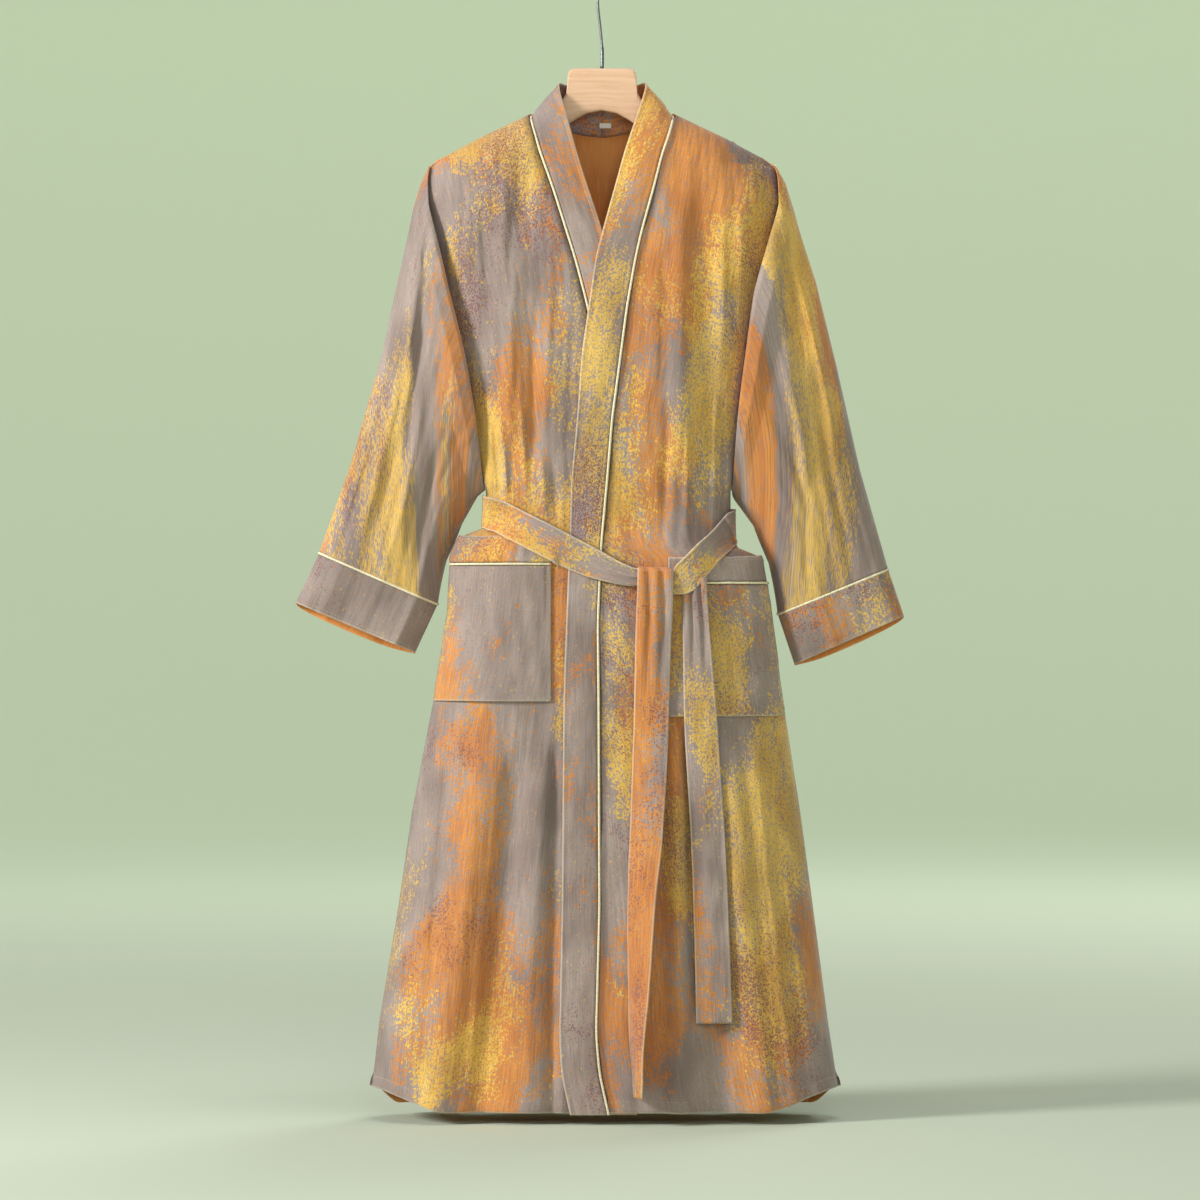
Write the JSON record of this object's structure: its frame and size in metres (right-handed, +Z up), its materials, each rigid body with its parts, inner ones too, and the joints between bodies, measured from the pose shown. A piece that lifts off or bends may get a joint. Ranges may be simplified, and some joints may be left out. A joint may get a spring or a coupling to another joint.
{
  "type": "kimono bathrobe on a wooden hanger",
  "caption": "Long kimono bathrobe in woven cotton with piped front bands, cuffs, patch pockets and a tied belt, hanging on a plain wooden hanger with a wire hook.",
  "frame": {"origin": "inside top of the hanger's hook, where it rests on a rail or a wall hook", "axes": "+Z up, the robe's front faces -Y, +X towards the wearer's left"},
  "size_m": [0.733, 0.2076, 1.4068],
  "materials": {
    "robe_cloth": "woven cotton, mottled in taupe, orange and gold",
    "piping": "cream cotton cord",
    "label": "plain woven tape",
    "beech": "satin beech",
    "hook_steel": "dark steel wire"
  },
  "bodies": {
    "root": {"back": "robe_cloth", "front_right": "robe_cloth", "front_left": "robe_cloth", "band_right": "robe_cloth", "band_left": "robe_cloth", "sleeve_right": "robe_cloth", "sleeve_left": "robe_cloth", "cuff_right": "robe_cloth", "cuff_left": "robe_cloth", "pocket_right": "robe_cloth", "pocket_left": "robe_cloth", "pocket_band_right": "robe_cloth", "pocket_band_left": "robe_cloth", "belt_waist": "robe_cloth", "belt_tail_front": "robe_cloth", "belt_tail_behind": "robe_cloth", "band_piping_right": "piping", "band_piping_left": "piping", "cuff_piping_right": "piping", "cuff_piping_left": "piping", "pocket_piping_right": "piping", "pocket_piping_left": "piping", "neck_label": "label", "hanger_bar": "beech", "hanger_hook": "hook_steel"}
  },
  "joints": []
}
